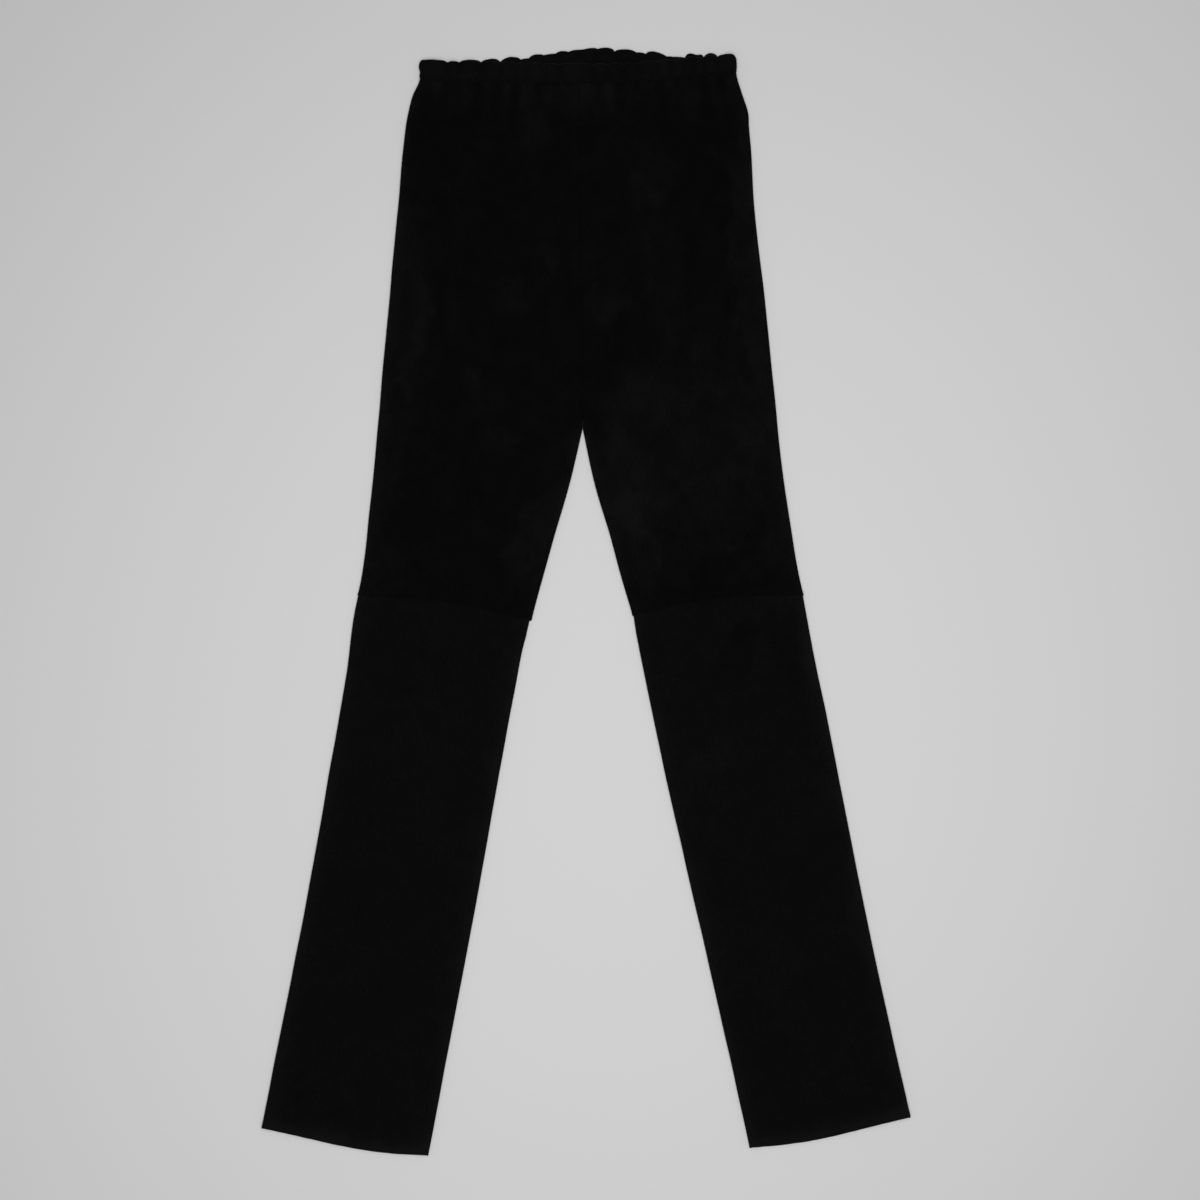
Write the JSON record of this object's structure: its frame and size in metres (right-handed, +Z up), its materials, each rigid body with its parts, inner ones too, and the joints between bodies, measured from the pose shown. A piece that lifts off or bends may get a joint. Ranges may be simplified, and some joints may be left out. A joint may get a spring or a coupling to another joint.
{
  "type": "suede skinny trousers",
  "caption": "Black suede pull-on skinny trousers with an elastic waist and knee seams, lying flat on their back.",
  "frame": {"origin": "middle of the footprint, on the surface that the trousers lie on", "axes": "+Z up out of the surface, towards the front of the garment; +Y along the garment from the hems to the waist; +X towards the wearer's left leg"},
  "size_m": [0.6032, 1.0293, 0.0068],
  "materials": {
    "black_suede": "matte black suede with a short soft nap, no gloss"
  },
  "bodies": {
    "root": {"upper_front_right": "black_suede", "upper_front_left": "black_suede", "upper_back_right": "black_suede", "upper_back_left": "black_suede", "lower_front_right": "black_suede", "lower_front_left": "black_suede", "lower_back_right": "black_suede", "lower_back_left": "black_suede", "waistband_front": "black_suede", "waistband_back": "black_suede"}
  },
  "joints": []
}
